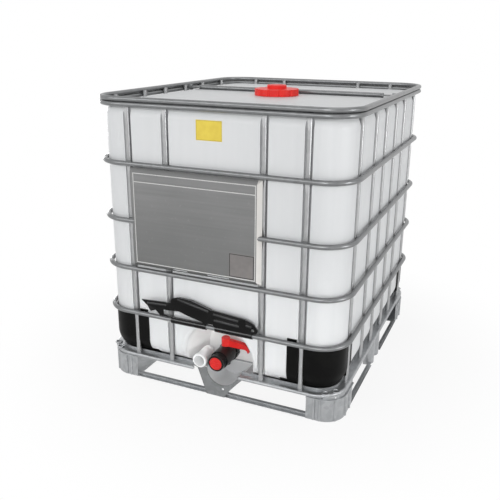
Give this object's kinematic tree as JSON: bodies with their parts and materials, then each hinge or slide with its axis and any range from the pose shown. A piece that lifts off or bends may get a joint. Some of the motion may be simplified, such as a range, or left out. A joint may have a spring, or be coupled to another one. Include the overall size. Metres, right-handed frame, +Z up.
{
  "type": "intermediate bulk container",
  "caption": "Bulk liquid container: white plastic bottle in a galvanised tube cage on a steel pallet, with a red screw lid on top and a lever valve at the bottom front.",
  "frame": {"origin": "floor level under the middle of the container", "axes": "+Z up, -Y toward the valve side, +X to the right when facing the valve"},
  "size_m": [1, 1.2035, 1.139],
  "materials": {
    "white_plastic": "satin natural polyethylene",
    "yellow_label": "printed film, left plain",
    "red_plastic": "moulded, slightly glossy",
    "seal_rubber": "matt",
    "stem_steel": "turned",
    "bolt_steel": "zinc plated",
    "plate_steel": "rolled sheet",
    "zinc_steel": "galvanised",
    "black_plastic": "moulded"
  },
  "bodies": {
    "frame": {"bottle": "white_plastic", "bottle_label": "yellow_label", "rail_upper": "zinc_steel", "rail_lower": "zinc_steel", "ring_upper": "zinc_steel", "ring_middle": "zinc_steel", "ring_lower": "zinc_steel", "ring_bottom": "zinc_steel", "uprights_front": "zinc_steel", "uprights_back": "zinc_steel", "uprights_left": "zinc_steel", "uprights_right": "zinc_steel", "crossbar": "zinc_steel", "crossbar_brackets": "zinc_steel", "crossbar_bolts": "bolt_steel", "label_plate": "plate_steel", "protector_front_left": "black_plastic", "protector_front_right": "black_plastic", "protector_back_left": "black_plastic", "protector_back_right": "black_plastic", "union_nut": "black_plastic", "valve_body": "black_plastic", "discharge_spout": "white_plastic", "tray": "zinc_steel", "floor_beams": "zinc_steel", "foot_front_left": "zinc_steel", "foot_front_right": "zinc_steel", "foot_back_left": "zinc_steel", "foot_back_right": "zinc_steel", "foot_mid_left": "zinc_steel", "foot_mid_right": "zinc_steel", "foot_mid_back": "zinc_steel", "runner_front": "zinc_steel", "runner_back": "zinc_steel", "runner_left": "zinc_steel", "runner_right": "zinc_steel", "valve_guard": "zinc_steel"},
    "handle": {"valve_stem": "stem_steel", "valve_disc": "stem_steel", "valve_handle": "red_plastic"},
    "lid_seal": {"lid_gasket": "seal_rubber"},
    "lid": {"screw_lid": "red_plastic"},
    "plug": {"outlet_cap": "red_plastic", "cap_gasket": "seal_rubber"},
    "flap": {"valve_flap": "black_plastic"}
  },
  "joints": [
    {"name": "valve_turn", "type": "hinge", "parent": "frame", "child": "handle", "pos_m": [0.006, -0.496, 0.152], "axis": [0, 0, 1], "range_deg": [-90, 0]},
    {"name": "lid_lift", "type": "slide", "parent": "frame", "child": "lid_seal", "axis": [0, 0, 1], "range_m": [0, 0.15]},
    {"name": "lid_turn", "type": "hinge", "parent": "lid_seal", "child": "lid", "pos_m": [0, 0, 1.11], "axis": [0, 0, 1], "range_deg": [0, 540]},
    {"name": "plug_pull", "type": "slide", "parent": "frame", "child": "plug", "axis": [0, -1, 0], "range_m": [0, 0.06]},
    {"name": "flap_hinge", "type": "hinge", "parent": "frame", "child": "flap", "pos_m": [0, -0.591, 0.302], "axis": [1, 0, 0], "range_deg": [0, 150]}
  ]
}
